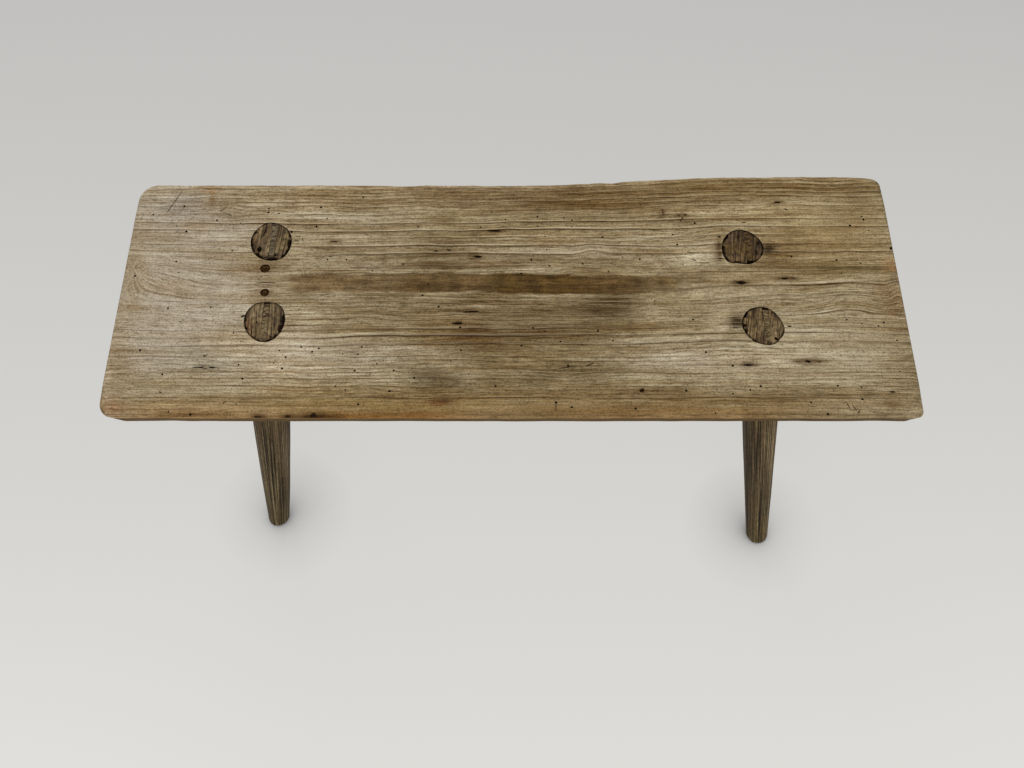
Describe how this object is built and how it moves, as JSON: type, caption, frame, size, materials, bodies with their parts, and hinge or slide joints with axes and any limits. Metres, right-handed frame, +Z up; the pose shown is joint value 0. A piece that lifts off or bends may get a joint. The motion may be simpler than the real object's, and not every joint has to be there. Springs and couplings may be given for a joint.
{
  "type": "country bench",
  "caption": "Low rustic bench: one thick worn pine plank on raked stake legs, each held by a wedged through tenon.",
  "frame": {"origin": "on the floor, in the middle of the bench's footprint", "axes": "+X along the seat to the right as seen from the front, +Y from the front edge to the rear edge, +Z up"},
  "size_m": [0.9986, 0.4154, 0.44],
  "materials": {
    "seat_pine": "bare weathered pine with raised grain",
    "leg_wood": "bare dark hand-shaved wood",
    "wedge_wood": "bare grey end grain",
    "peg_wood": "bare dark end grain"
  },
  "bodies": {
    "root": {"seat_plank": "seat_pine", "front_left_leg": "leg_wood", "front_right_leg": "leg_wood", "rear_left_leg": "leg_wood", "rear_right_leg": "leg_wood", "front_left_wedge": "wedge_wood", "front_right_wedge": "wedge_wood", "rear_left_wedge": "wedge_wood", "rear_right_wedge": "wedge_wood", "front_peg": "peg_wood", "rear_peg": "peg_wood"}
  },
  "joints": []
}
